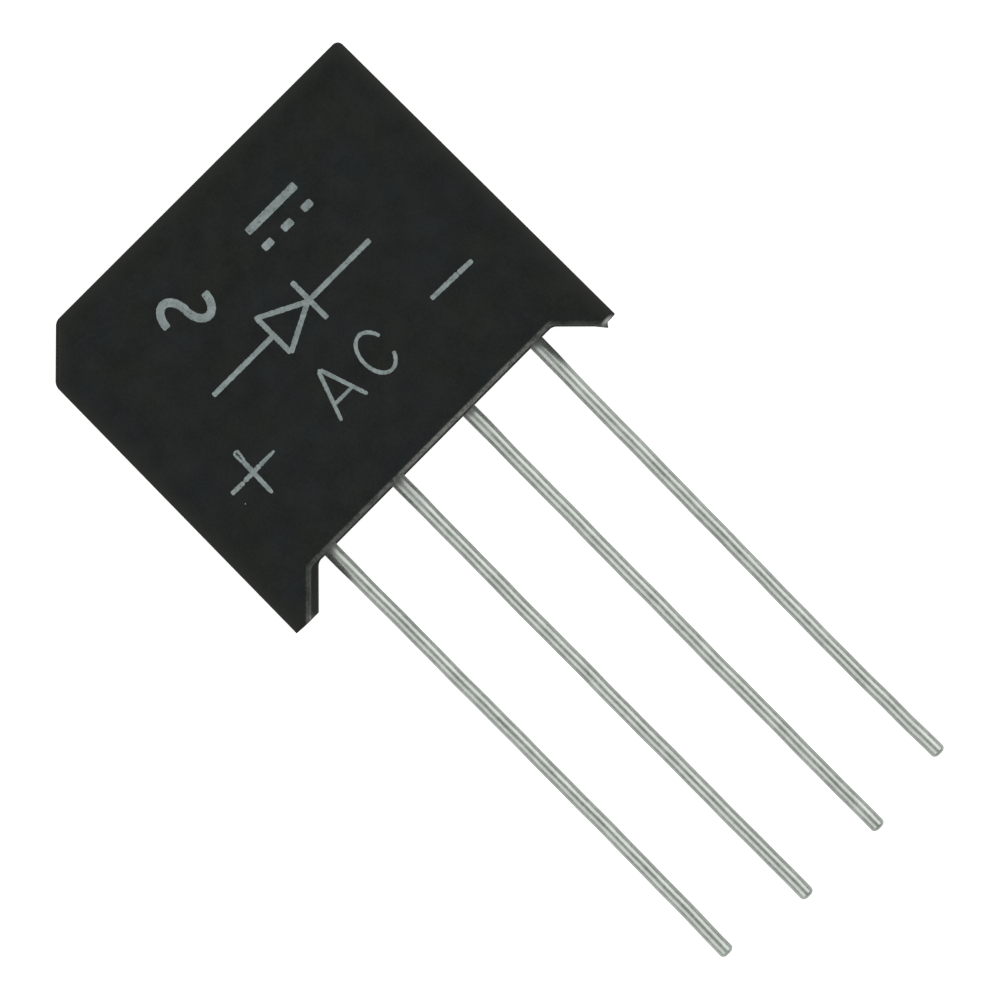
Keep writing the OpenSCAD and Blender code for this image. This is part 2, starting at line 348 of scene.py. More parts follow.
def buildCaseFields():  # distance from the outline, and from the faces of the gap
    group, source, target = newGroup(
        "caseFields", [("Vector", "NodeSocketVector", None)],
        ["From Outline", "From Gap", "From Front", "From Foot"],
    )
    split = addNode(group, "ShaderNodeSeparateXYZ", (-700, 0))
    group.links.new(source.outputs["Vector"], split.inputs[0])
    x, y = split.outputs["X"], split.outputs["Y"]
    slope = math.tan(draft)
    reach = mathNode(group, "MULTIPLY_ADD", (-500, 200), y, -slope)
    reach.node.inputs[2].default_value = caseHigh.x + seatY * slope
    side = mathNode(group, "SUBTRACT", (-300, 200), reach, mathNode(group, "ABSOLUTE", (-500, 50), x))
    top = mathNode(group, "SUBTRACT", (-300, 50), topY, y)
    cornerX = caseHigh.x - (topY - seatY) * slope
    across = mathNode(group, "SUBTRACT", (-500, -100), x, y)
    cut = mathNode(group, "MULTIPLY_ADD", (-300, -100), across, math.sqrt(0.5))
    cut.node.inputs[2].default_value = (cornerX + topY - caseShape["chamfer"]) * math.sqrt(0.5)
    nearest = mathNode(group, "MINIMUM", (-150, 150), side, top)
    nearest = mathNode(group, "MINIMUM", (0, 150), nearest, cut)
    group.links.new(nearest, target.inputs["From Outline"])
    footRun = caseShape["footFlat"] + rimY - seatY - caseShape["gapWider"]
    lean = mathNode(group, "MULTIPLY_ADD", (-650, -300), x, -math.radians(caseShape["gapLean"]))
    group.links.new(y, lean.node.inputs[2])
    below = mathNode(group, "SUBTRACT", (-500, -300), lean, rimY - caseShape["gapDrop"])
    middleX = mathNode(group, "SUBTRACT", (-500, -450), x, caseShape["gapOffset"])
    awayX = mathNode(group, "ABSOLUTE", (-350, -450), middleX)
    slant = mathNode(group, "ADD", (-200, -400), awayX, below)
    slant = mathNode(group, "MULTIPLY_ADD", (-50, -400), slant, math.sqrt(0.5))
    slant.node.inputs[2].default_value = -(caseHigh.x - footRun) * math.sqrt(0.5)
    group.links.new(mathNode(group, "MAXIMUM", (150, -350), below, slant), target.inputs["From Gap"])
    front = mathNode(group, "MULTIPLY_ADD", (-300, -600), y, -slope)
    front.node.inputs[2].default_value = frontZ(0)
    front = mathNode(group, "SUBTRACT", (-100, -600), front, split.outputs["Z"])
    group.links.new(front, target.inputs["From Front"])
    tipX = rangeNode(group, (-350, -750), x, -mm, mm, *caseFinish["tipAt"])
    squeeze = rangeNode(group, (-350, -1000), x, -mm, mm, *caseFinish["tipSqueeze"])
    footX = mathNode(group, "SUBTRACT", (-200, -750), awayX, tipX)
    footX = mathNode(group, "MULTIPLY", (-50, -750), footX, squeeze)
    footY = mathNode(group, "SUBTRACT", (-200, -900), lean, seatY)
    squareX = mathNode(group, "MULTIPLY", (100, -750), footX, footX)
    squareY = mathNode(group, "MULTIPLY", (100, -900), footY, footY)
    far = mathNode(group, "ADD", (200, -800), squareX, squareY)
    group.links.new(mathNode(group, "SQRT", (350, -800), far), target.inputs["From Foot"])
    return group


caseFields = buildCaseFields()


def makeCaseMaterial(spec):
    material, tree, shader, place = newMaterial("mouldedCase")
    tone = addTone(tree, place, *spec["tone"])
    spread = rangeNode(tree, (-650, 100), tone.outputs["Tone"], 0.36, 0.64)
    colour = mixColour(tree, (-400, 200), spread, spec["dark"], spec["light"])
    tintNoise = noiseNode(tree, (-900, -250), spec["tintSize"], 2)
    tree.links.new(place, tintNoise.inputs["Vector"])
    tintShare = rangeNode(tree, (-650, -250), tintNoise.outputs["Fac"], 0.35, 0.65)
    tint = mixColour(tree, (-450, -250), tintShare, *spec["tints"])
    colour = mixColour(tree, (-300, 100), 1.0, colour, tint, "MULTIPLY")
    fields = addNode(tree, "ShaderNodeGroup", (-900, 300))
    fields.node_tree = caseFields
    tree.links.new(place, fields.inputs[0])
    outline, gap = fields.outputs["From Outline"], fields.outputs["From Gap"]
    front, foot = fields.outputs["From Front"], fields.outputs["From Foot"]
    split = addNode(tree, "ShaderNodeSeparateXYZ", (-1100, 1050))
    tree.links.new(place, split.inputs[0])

    # painted highlight: paler towards the rounded edges of the outline
    outlineHighlight = rangeNode(tree, (-650, 350), outline, 0.0, spec["outlineHighlightReach"], 1.0, 0.0)
    outlineHighlight = mathNode(tree, "POWER", (-500, 350), outlineHighlight, spec["outlineHighlightFall"])
    colour = mixColour(tree, (-250, 250), outlineHighlight, colour, spec["edge"])
    # painted highlight on the faces where the wall ends at the gap
    onRim = rangeNode(tree, (-650, 550), gap, *spec["rimBand"], 1.0, 0.0)
    colour = mixColour(tree, (-100, 250), onRim, colour, spec["rimHighlight"])

    # painted highlight along the front edge of the gap, patchy and strongest near one x
    wearAndHighlight = rangeNode(tree, (-650, 750), gap, *spec["gapHighlightBand"], 1.0, 0.0)
    atFront = rangeNode(tree, (-650, 900), front, *spec["gapHighlightDepth"], 1.0, 0.0)
    wearAndHighlight = mathNode(tree, "MULTIPLY", (-450, 800), wearAndHighlight, atFront)
    aside = mathNode(tree, "SUBTRACT", (-950, 1050), split.outputs["X"], spec["gapHighlightMost"])
    aside = mathNode(tree, "ABSOLUTE", (-800, 1050), aside)
    most = rangeNode(tree, (-650, 1050), aside, *spec["gapHighlightFade"], 1.0, spec["gapHighlightLeast"])
    wearAndHighlight = mathNode(tree, "MULTIPLY", (-400, 1050), wearAndHighlight, most)
    onFoot = rangeNode(tree, (-650, 1120), split.outputs["X"], *spec["footSlope"], 1.0, spec["gapHighlightOnFoot"])
    wearAndHighlight = mathNode(tree, "MULTIPLY", (-400, 1120), wearAndHighlight, onFoot)
    patchy = rangeNode(tree, (-650, 1200), tone.outputs["Tone"], *spec["gapHighlightPatches"])
    wearAndHighlight = mathNode(tree, "MULTIPLY", (-300, 800), wearAndHighlight, patchy)
    colour = mixColour(tree, (0, 250), wearAndHighlight, colour, spec["wearAndHighlight"])

    # painted highlights at the inner ends of the feet
    tipHighlight = rangeNode(tree, (-650, 1350), foot, *spec["tipBand"], spec["tipMost"], 0.0)
    tipFade = rangeNode(tree, (-650, 1500), front, *spec["tipDepth"], 1.0, 0.0)
    tipHighlight = mathNode(tree, "MULTIPLY", (-450, 1200), tipHighlight, tipFade)
    colour = mixColour(tree, (100, 250), tipHighlight, colour, spec["footTipHighlight"])

    # painted light: the inner walls of the cup, which lie in shade, are coloured paler
    # the inside of the cup lies this deep under the front, under the sides and under the back
    litInside = rangeNode(tree, (-650, 1650), front, *spec["insideFrom"])
    for step, depth in enumerate((outline, split.outputs["Z"])):
        deep = rangeNode(tree, (-650, 1800 + 150 * step), depth, *spec["insideFrom"])
        litInside = mathNode(tree, "MULTIPLY", (-450 + 200 * step, 1650), litInside, deep)
    colour = mixColour(tree, (200, 250), litInside, colour, spec["inside"])
    tree.links.new(colour, shader.inputs["Base Color"])

    rough = rangeNode(tree, (-400, -100), tone.outputs["Tone"], 0.25, 0.75,
                      spec["roughness"] - 0.05, spec["roughness"] + 0.06)
    rough = mathNode(tree, "MAXIMUM", (-200, -100), rough, onRim)
    tree.links.new(rough, shader.inputs["Roughness"])
    shader.inputs["Specular IOR Level"].default_value = spec["specular"]
    addBump(tree, shader, tone.outputs["Fine Tone"], spec["grainDepth"])
    return material


resinFinish = {
    "dark": (0.006, 0.007, 0.006),
    "light": (0.060, 0.061, 0.054),
    "tone": (1400.0, 6000.0, 0.4),
    "roughness": 0.75,
    "lumps": 0.03 * mm,
}


def makeResinMaterial(spec):
    material, tree, shader, place = newMaterial("castResin")
    tone = addTone(tree, place, *spec["tone"])
    spread = rangeNode(tree, (-650, 100), tone.outputs["Tone"], 0.42, 0.68)
    colour = mixColour(tree, (-400, 200), spread, spec["dark"], spec["light"])
    tree.links.new(colour, shader.inputs["Base Color"])
    unevenGloss(tree, shader, tone.outputs["Fine Tone"], spec["roughness"], 0.08, 0.15)
    addBump(tree, shader, tone.outputs["Tone"], spec["lumps"])
    return material


tinFinish = {
    "colour": (0.76, 0.82, 0.75),
    "dull": (0.60, 0.65, 0.60),
    "tone": (1500.0, 7000.0, 0.4),
    "patches": (0.80, 1.08),                      # darkest and brightest patch
    "roughness": 0.24,
    "drawnLines": 14000.0,                        # lengthwise marks, per metre across the wire
    "drawnStretch": 0.035,                        # and how slowly they change along it
    "drawnShare": 0.4,                            # their share in the bumps
    "markDepth": 0.0025 * mm,
    "stain": (0.10, 0.11, 0.10),                  # where the resin climbs the wire
    "stainMost": 0.7,
    "stainMetallic": 0.4,                         # what is left of the metallic look there
    "stainFrom": (-0.05 * mm, 0.35 * mm),         # above the rim
    "film": 0.74,                                 # how metallic the wire stays under a thin film
    "filmEnd": (-1.45 * mm, -0.85 * mm),          # where the film runs out, from the rim
    "wander": 0.9 * mm,                           # how far the borders of both stray
}


def makeTinMaterial(spec):
    material, tree, shader, place = newMaterial("tinnedWire")
    stretch = addNode(tree, "ShaderNodeMapping", (-1100, 200))
    stretch.inputs["Scale"].default_value = (1.0, spec["drawnStretch"], 1.0)
    tree.links.new(place, stretch.inputs["Vector"])
    streak = noiseNode(tree, (-900, 250), spec["drawnLines"], 3, 0.6)
    tree.links.new(stretch.outputs["Vector"], streak.inputs["Vector"])
    tone = addTone(tree, place, *spec["tone"], (-900, -100))
    dullness = rangeNode(tree, (-650, 200), streak.outputs["Fac"], 0.42, 0.72)
    colour = mixColour(tree, (-450, 250), dullness, spec["colour"], spec["dull"])

    split = addNode(tree, "ShaderNodeSeparateXYZ", (-900, -350))
    tree.links.new(place, split.inputs["Vector"])
    along = mathNode(tree, "MULTIPLY_ADD", (-700, -350), tone.outputs["Tone"], spec["wander"])
    tree.links.new(split.outputs["Y"], along.node.inputs[2])
    stainY = [rimY + y for y in spec["stainFrom"]]
    root = rangeNode(tree, (-500, -350), along, *stainY, 0.0, spec["stainMost"], True)
    colour = mixColour(tree, (-250, 250), root, colour, spec["stain"])
    patches = rangeNode(tree, (-450, 450), tone.outputs["Tone"], 0.36, 0.64, *spec["patches"])
    colour = mixColour(tree, (-100, 250), 1.0, colour, patches, "MULTIPLY")
    tree.links.new(colour, shader.inputs["Base Color"])

    filmY = [rimY + y for y in spec["filmEnd"]]
    film = rangeNode(tree, (-500, -550), along, *filmY, 1.0, spec["film"], True)
    bare = rangeNode(tree, (-250, 0), root, 0.0, spec["stainMost"], 1.0, spec["stainMetallic"])
    bare = mathNode(tree, "MULTIPLY", (-100, -50), bare, film)
    tree.links.new(bare, shader.inputs["Metallic"])
    unevenGloss(tree, shader, tone.outputs["Tone"], spec["roughness"], 0.05, 0.10)
    height = mathNode(tree, "MULTIPLY_ADD", (-450, -150), streak.outputs["Fac"], spec["drawnShare"])
    tree.links.new(tone.outputs["Tone"], height.node.inputs[2])
    addBump(tree, shader, height, spec["markDepth"])
    return material


inkFinish = {
    "full": (0.345, 0.412, 0.406),
    "wearAndHighlight": (0.215, 0.262, 0.258),
    "bare": (0.012, 0.014, 0.013),                # the case in the pinholes of the print
    "tone": (2600.0, 9000.0, 0.45),
    "roughness": 0.7,
    "specular": 0.25,
    "grainDepth": 0.004 * mm,
}


def makeInkMaterial(spec):
    material, tree, shader, place = newMaterial("printInk")
    tone = addTone(tree, place, *spec["tone"])
    thin = rangeNode(tree, (-650, 150), tone.outputs["Tone"], 0.36, 0.62)
    colour = mixColour(tree, (-450, 200), thin, spec["full"], spec["wearAndHighlight"])
    holes = rangeNode(tree, (-650, -100), tone.outputs["Fine Tone"], 0.66, 0.74)
    colour = mixColour(tree, (-250, 200), holes, colour, spec["bare"])
    tree.links.new(colour, shader.inputs["Base Color"])
    shader.inputs["Roughness"].default_value = spec["roughness"]
    shader.inputs["Specular IOR Level"].default_value = spec["specular"]
    addBump(tree, shader, tone.outputs["Fine Tone"], spec["grainDepth"])
    return material


# the pieces sealed in the resin: clean colour, tarnished colour, metallic, roughness
hiddenFinishes = {
    "copper": ((0.80, 0.42, 0.28), (0.42, 0.20, 0.13), 1.0, 0.32),
    "silicon": ((0.075, 0.080, 0.098), (0.040, 0.042, 0.055), 0.0, 0.18),
    "solder": ((0.60, 0.62, 0.63), (0.34, 0.35, 0.36), 1.0, 0.42),
}
hiddenTone = (1200.0, 8000.0, 0.4)


def makeHiddenMaterial(name, clean, tarnished, metallic, roughness):
    material, tree, shader, place = newMaterial(name)
    tone = addTone(tree, place, *hiddenTone)
    spread = rangeNode(tree, (-650, 100), tone.outputs["Tone"], 0.38, 0.68)
    colour = mixColour(tree, (-400, 200), spread, clean, tarnished)
    tree.links.new(colour, shader.inputs["Base Color"])
    unevenGloss(tree, shader, tone.outputs["Tone"], roughness, 0.08, 0.12)
    shader.inputs["Metallic"].default_value = metallic
    addBump(tree, shader, tone.outputs["Fine Tone"], 0.004 * mm)
    return material


mouldedCase = makeCaseMaterial(caseFinish)
castResin = makeResinMaterial(resinFinish)
tinnedWire = makeTinMaterial(tinFinish)
printInk = makeInkMaterial(inkFinish)
hiddenMaterials = {name: makeHiddenMaterial(name, *finish) for name, finish in hiddenFinishes.items()}
print("materials made")


def isUpright(edge):
    way = (edge.verts[0].co - edge.verts[1].co).normalized()
    return abs(way.z) > 0.99


def roundRim(block, side, radius, steps=4):  # small insets that follow a quarter circle
    pick(block, "faces", lambda f: f.normal.z * side > 0.99)
    angles = [math.pi / 2 * i / steps for i in range(steps + 1)]
    for a, b in zip(angles, angles[1:]):
        inward = radius * (math.cos(a) - math.cos(b))
        outward = radius * (math.sin(b) - math.sin(a))
        bpy.ops.mesh.inset(thickness=inward, depth=outward)


halfCorner = math.tan(math.radians(22.5))         # from a radius to the offset of a bevel at 45 degrees


# a block with the draft and the chamfer of the case, moved in by inset, its corners and edges rounded;
# corners are the radii at the square corner and at the two ends of the chamfer
def draftedBlock(name, inset, lowY, corners, edgeRadius):
    endY = topY - inset
    half = halfWidth(lowY) - inset
    back = inset + edgeRadius
    low, high = Vector((-half, lowY, back)), Vector((half, endY, frontZ(lowY) - back))
    block = addBlock(name, low, high)
    startEdit(block)
    pick(block, "verts", lambda v: v.co.y > endY - 1e-6)
    narrower = (halfWidth(endY) - inset) / half
    thinner = (frontZ(endY) - 2 * back) / (frontZ(lowY) - 2 * back)
    bpy.ops.transform.resize(value=(narrower, 1, thinner), center_override=(0, endY, back))
    leg = caseShape["chamfer"] - inset * (2 - math.sqrt(2))
    pick(block, "edges", lambda e: all(v.co.x < 0 and v.co.y > endY - 1e-6 for v in e.verts))
    bpy.ops.mesh.bevel(offset=leg, offset_type="OFFSET", segments=1, affect="EDGES", clamp_overlap=False)
    pick(block, "edges", lambda e: isUpright(e) and middle(e).x > 0 and middle(e).y > endY - 1e-6)
    bpy.ops.mesh.bevel(offset=corners[0], offset_type="OFFSET", segments=6, affect="EDGES")
    pick(block, "edges", lambda e: isUpright(e) and middle(e).x < 0 and middle(e).y > lowY + 1e-6)
    bpy.ops.mesh.bevel(offset=corners[1] * halfCorner, offset_type="OFFSET", segments=5, affect="EDGES")
    roundRim(block, 1, edgeRadius)
    roundRim(block, -1, edgeRadius)
    return block


def makeCase(shape):
    radii = (shape["topCornerRadius"], shape["chamferRadius"])
    case = draftedBlock("case", 0.0, seatY - mm, radii, shape["edgeRadius"])
    bpy.ops.mesh.select_all(action="SELECT")
    lean = math.tan(math.radians(shape["gapLean"]))
    bpy.ops.mesh.bisect(plane_co=(0, seatY, 0), plane_no=(lean, -1, 0), use_fill=True, clear_outer=True)
    endEdit()
    inside = shape["insideRadius"]
    hollow = draftedBlock("hollow", shape["wall"], seatY - 2 * mm, (inside, inside), inside * 0.9)
    endEdit()
    cutAway(case, hollow)

    # the gap between the feet is a block whose low end is spread to the slope of the feet
    footH = rimY - seatY
    rimHalf = caseHigh.x - shape["footFlat"] - footH + shape["gapWider"]
    gap = addBlock("gap", Vector((-rimHalf, seatY - mm, -mm)), Vector((rimHalf, rimY, caseHigh.z + mm)))
    startEdit(gap)
    pick(gap, "verts", lambda v: v.co.y < seatY)
    wider = (rimHalf + footH + mm) / rimHalf
    bpy.ops.transform.resize(value=(wider, 1, 1), center_override=(0, seatY - mm, 0))
    bpy.ops.mesh.select_all(action="SELECT")
    bpy.ops.transform.translate(value=(shape["gapOffset"], -shape["gapDrop"], 0))
    bpy.ops.transform.rotate(value=-math.radians(shape["gapLean"]), orient_axis="Z",
                             center_override=(0, rimY, 0))
    pick(gap, "edges", lambda e: isUpright(e) and middle(e).y > seatY)
    fillet = shape["footFillet"] * halfCorner
    bpy.ops.mesh.bevel(offset=fillet, offset_type="OFFSET", segments=4, affect="EDGES")
    endEdit()
    cutAway(case, gap)

    # a small flash was left where the slope of the negative foot meets its end
    reach = shape["burrReach"]
    footX = caseHigh.x - shape["footFlat"] + shape["gapOffset"] - 0.03 * mm
    deselectAll()
    bpy.ops.mesh.primitive_cone_add(vertices=7, radius1=shape["burrSize"], depth=2 * reach,
                                    location=(footX, seatY + 0.12 * reach, caseHigh.z - 0.5 * mm),
                                    rotation=(math.pi / 2, 0.2, 0))
    burr = bpy.context.object
    burr.scale = (1, 0.5, 1)
    bpy.ops.object.transform_apply(location=True, rotation=True, scale=True)
    applyModifier(case, "BOOLEAN", operation="UNION", solver="EXACT", object=burr)
    bpy.data.objects.remove(burr)

    # the edges that the gap leaves in the front and the back wall are rounded
    def isCutEdge(edge):
        on = middle(edge)
        inGap = seatY + 0.12 * mm < on.y < rimY + 1e-6
        inGap = inGap and abs(on.x) < caseHigh.x - shape["footFlat"] * 0.8
        isSharp = len(edge.link_faces) == 2 and edge.calc_face_angle() > 0.8
        return inGap and isSharp and not isUpright(edge)

    def isFrontEdge(edge):
        return all(v.co.z > frontZ(v.co.y) - 0.02 * mm for v in edge.verts)

    startEdit(case, "EDGE")
    pick(case, "edges", lambda e: isCutEdge(e) and isFrontEdge(e))
    bpy.ops.mesh.bevel(offset=shape["frontEdge"], offset_type="OFFSET", segments=4, affect="EDGES")
    endEdit()
    startEdit(case, "EDGE")
    pick(case, "edges", lambda e: isCutEdge(e) and middle(e).z < caseHigh.z - 0.6 * mm)
    bpy.ops.mesh.bevel(offset=shape["cutEdge"], offset_type="OFFSET", segments=2, affect="EDGES")
    endEdit()
    smoothByAngle(case, 32)
    return finishPiece(case, "case", mouldedCase, ["case_shell"])


case = makeCase(caseShape)
print("case made,", len(case.data.polygons), "faces")


pottingShape = {
    "dip": -0.10 * mm,                            # below the drawn rim at the walls
    "dish": 0.10 * mm,
    "steps": (150, 36),
    "ripple": 0.07 * mm,
    "climb": 0.14 * mm,                           # how far it is drawn up each lead
    "climbReach": 0.16 * mm,
    "swells": [(-4.3, 0.02), (-2.9, 0.04), (-0.2, 0.05), (0.9, 0.02)],   # mm from the middle, mm out
}


def surfaceY(shape, waves, wires, x, z, depth, half):  # z runs from 0 at the back to 1 at the front
    inside = max(0.0, min(1.0, 9 * z * (1 - z), (half / mm - abs(x)) * 2.5))
    wave = sum(math.sin(a * x + 6.3 * b * z + c) for a, b, c in waves) / 4
    y = shape["dish"] * max(0.0, 4 * z * (1 - z)) + shape["ripple"] * wave * inside
    for at, out in shape["swells"]:
        y -= out * mm * math.exp(-((x - at) / 0.95) ** 2) * (0.5 + 0.5 * inside)
    for wireX, wireZ, radius in wires:
        away = math.hypot(x * mm - wireX, caseShape["wall"] + z * depth - wireZ) - radius
        y -= shape["climb"] * math.exp(-max(0.0, away) / shape["climbReach"])
    return y


def makePotting(shape):
    wall = caseShape["wall"]
    lowY = rimY + shape["dip"]
    inside = caseShape["insideRadius"]
    potting = draftedBlock("potting", wall, seatY, (inside, inside), inside * 0.9)
    endEdit()

    # what lies below the cast surface is cut away by a block whose top is a fine, shaped grid
    half, depth = halfWidth(lowY) - wall, frontZ(lowY) - 2 * wall
    deselectAll()
    stepsX, stepsZ = shape["steps"]
    bpy.ops.mesh.primitive_grid_add(x_subdivisions=stepsX, y_subdivisions=stepsZ, size=1,
                                    location=(0, lowY, wall + depth / 2), rotation=(math.pi / 2, 0, 0))
    below = bpy.context.object
    below.scale = (2.1 * half, 1.1 * depth, 1)
    bpy.ops.object.transform_apply(location=True, rotation=True, scale=True)
    chance = random.Random(7)
    waves = [(chance.uniform(0.8, 4.2), chance.uniform(-2.2, 2.2), chance.uniform(0, 6.3))
             for _ in range(9)]
    ends = [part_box(node) for node in leadNodes]
    wires = [((a.x + b.x) / 2, (a.z + b.z) / 2, (b.z - a.z) / 2) for a, b in ends]
    for v in below.data.vertices:
        v.co.y += surfaceY(shape, waves, wires, v.co.x / mm, (v.co.z - wall) / depth, depth, half)
    startEdit(below)
    bpy.ops.mesh.select_all(action="SELECT")
    bpy.ops.mesh.extrude_region_move(TRANSFORM_OT_translate={"value": (0, -4 * mm, 0)})
    bpy.ops.transform.resize(value=(1, 0, 1), center_override=(0, seatY - 2 * mm, 0))
    endEdit()
    facesOutward(below)
    cutAway(potting, below)
    facesOutward(potting)
    smoothByAngle(potting, 40)
    return finishPiece(potting, "potting", castResin, ["potting_fill"])


potting = makePotting(pottingShape)
print("potting made,", len(potting.data.polygons), "faces")


leadShape = {
    "sides": 24,
    "flatHalfThickness": 0.15 * mm,
    "flatStart": -0.15 * mm,                      # the wire starts to flatten this far below the rim
    "flatRun": 0.8 * mm,
    "flatBulge": 1.35,                            # its last ring before the flat part is this much thicker
    "tipStart": 0.42,                             # size of the cut end itself
    "tipRound": 0.16 * mm,
    "tipSteps": (0.05, 0.25, 0.6, 1.0),
    "step": 0.45 * mm,
    "waves": ((0.006, 1.1), (0.004, 2.7)),        # (mm sideways, radians per mm)
    # how each wire strays sideways: (mm below the rim, mm towards +X)
    "stray": {
        "lead_positive": [(0, 0.032), (8.5, 0.026), (14, 0.020), (19, -0.002), (23, -0.069)],
        "lead_ac_left": [(0, 0.030), (1.8, 0.028), (3.8, 0.004), (8.5, -0.014), (14, -0.024),
                         (23, -0.024)],
        "lead_ac_right": [(0, 0.121), (1.8, 0.119), (3.8, 0.096), (8.5, 0.076), (14, 0.053),
                          (23, 0.034)],
        "lead_negative": [(0, 0.075), (1.8, 0.052), (3.8, 0.028), (8.5, -0.013), (14, -0.072),
                          (18, -0.100), (20.3, -0.067), (23, -0.038)],
    },
    # how much longer than drawn each wire was cut
    "longer": {
        "lead_positive": 0.069 * mm,
        "lead_ac_left": 0.079 * mm,
        "lead_ac_right": 0.128 * mm,
        "lead_negative": 0.108 * mm,
    },
    "thinner": 0.948,                             # the free wire against its film-covered root
    "filmEnd": (1.2, 1.9),                        # mm below the rim, where the film runs out
}


def strayAt(points, below):  # a smooth curve through the points
    if below <= points[0][0]:
        return points[0][1]
    for (a, p), (b, q) in zip(points, points[1:]):
        if below <= b:
            t = (below - a) / (b - a)
            return p + (q - p) * t * t * (3 - 2 * t)
    return points[-1][1]


def makeLead(node, shape, seed):
    low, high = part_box(node)
    centreX, centreZ = (low.x + high.x) / 2, (low.z + high.z) / 2
    radius = (high.z - low.z) / 2
    chance = random.Random(seed)
    phases = [chance.uniform(0, 6.3) for _ in shape["waves"]]
    low = low - Vector((0, shape["longer"][node], 0))

    def sizeAt(y):
        start, end = shape["filmEnd"]
        share = max(0.0, min(1.0, ((rimY - y) / mm - start) / (end - start)))
        return 1 + (shape["thinner"] - 1) * share * share * (3 - 2 * share)

    def centreAt(y):
        below = (rimY - y) / mm
        x = strayAt(shape["stray"][node], below)
        if below > 0:
            for (reach, turns), phase in zip(shape["waves"], phases):
                x += reach * math.sin(turns * below + phase)
        return Vector((centreX + x * mm, y, centreZ))

    deselectAll()
    bpy.ops.mesh.primitive_circle_add(vertices=shape["sides"], radius=radius, fill_type="NGON",
                                      location=centreAt(low.y), rotation=(math.pi / 2, 0, 0))
    lead = bpy.context.object
    bpy.ops.object.transform_apply(location=True, rotation=True, scale=True)
    startEdit(lead, "FACE")
    bpy.ops.mesh.select_all(action="SELECT")
    # the cut end is drawn in to a low dome, then the wire grows ring by ring
    flatStart = rimY + shape["flatStart"]
    rings = []
    for share in shape["tipSteps"]:
        size = shape["thinner"] * math.sqrt(1 - (1 - share) ** 2 * 0.75)
        rings.append((low.y + share * shape["tipRound"], size))
    count = round((flatStart - rings[-1][0]) / shape["step"])
    first = rings[-1][0]
    for i in range(count):
        y = first + (flatStart - first) * (i + 1) / count
        rings.append((y, sizeAt(y)))
    was, wasSize = centreAt(low.y), shape["tipStart"]
    bpy.ops.transform.resize(value=(wasSize, 1, wasSize), center_override=was)
    for y, size in rings:
        now = centreAt(y)
        bpy.ops.mesh.extrude_region_move(TRANSFORM_OT_translate={"value": now - was})
        bpy.ops.transform.resize(value=(size / wasSize, 1, size / wasSize), center_override=now)
        was, wasSize = now, size
    # inside the potting the wire is pressed flat
    wideShare = (high.x - low.x) / 2 / radius
    thinShare = shape["flatHalfThickness"] / radius * shape["flatBulge"]
    wasWide, wasThin = 1.0, 1.0
    for share in (0.25, 0.5, 0.75, 1.0):
        now = centreAt(flatStart + share * shape["flatRun"])
        wide, thin = 1 + (wideShare - 1) * share, 1 + (thinShare - 1) * share
        bpy.ops.mesh.extrude_region_move(TRANSFORM_OT_translate={"value": now - was})
        bpy.ops.transform.resize(value=(wide / wasWide, 1, thin / wasThin), center_override=now)
        was, wasWide, wasThin = now, wide, thin
    end = Vector((was.x, high.y, was.z))
    bpy.ops.mesh.extrude_region_move(TRANSFORM_OT_translate={"value": end - was})
    flatFrom = flatStart + shape["flatRun"] - 1e-6
    for side in (1, -1):
        level = centreZ + side * shape["flatHalfThickness"]
        pick(lead, "verts", lambda v: v.co.y > flatFrom and side * (v.co.z - level) > -1e-7)
        bpy.ops.transform.resize(value=(1, 1, 0), center_override=(0, 0, level))
    endEdit()
    facesOutward(lead)
    smoothByAngle(lead, 50)
    return finishPiece(lead, node.replace("lead_", "wire_"), tinnedWire, [node])


for number, node in enumerate(leadNodes):
    makeLead(node, leadShape, 11 + number)
print("leads made")


markShape = {
    "thickness": 0.014 * mm,
    "sink": 0.004 * mm,
    "shift": (0.025 * mm, 0.045 * mm),            # how far all marks stand towards +X and +Y
    "step": 0.05 * mm,
    "rag": 0.010 * mm,                            # unevenness of a stroke's edge
    "endRadius": 0.085 * mm,                      # rounding of the ends of broad strokes
}


def arcPoints(centre, radii, fromAngle, toAngle, count=24):
    angles = [math.radians(fromAngle + (toAngle - fromAngle) * i / count) for i in range(count + 1)]
    return [(centre[0] + radii[0] * math.cos(a), centre[1] + radii[1] * math.sin(a)) for a in angles]


# each stroke is (width at its start, width at its end, points), all in mm on the front face
polarityMarks = {
    "mark_plus": [
        (0.20, 0.19, [(-6.74, -2.84), (-6.07, -2.85)]),
        (0.19, 0.21, [(-6.05, -2.84), (-5.16, -2.82)]),
        (0.21, 0.12, [(-5.16, -2.82), (-4.36, -2.81)]),
        (0.19, 0.22, [(-5.58, -3.92), (-5.53, -2.22)]),
        (0.12, 0.11, [(-5.58, -2.26), (-5.59, -1.77)]),
        (0.12, 0.11, [(-5.46, -2.26), (-5.40, -1.77)]),
        (0.11, 0.10, [(-5.58, -1.79), (-5.41, -1.78)]),
        (0.13, 0.13, [(-6.64, -3.47), (-6.61, -3.49)]),
    ],
    "mark_minus": [
        (0.21, 0.23, [(4.09, -2.935), (5.51, -2.965)]),
        (0.23, 0.21, [(5.53, -2.965), (6.27, -2.995)]),
    ],
}
letterMarks = {
    "mark_letter_a": [
        (0.17, 0.18, [(-1.70, -3.83), (-0.99, -1.85)]),
        (0.18, 0.17, [(-0.91, -1.85), (-0.25, -3.80)]),
        (0.17, 0.17, [(-1.01, -1.84), (-0.89, -1.84)]),
        (0.16, 0.16, [(-1.40, -3.19), (-0.47, -3.19)]),
    ],
    "mark_letter_c": [(0.17, 0.17, arcPoints((1.10, -2.885), (0.61, 0.92), 22, 331))],
}
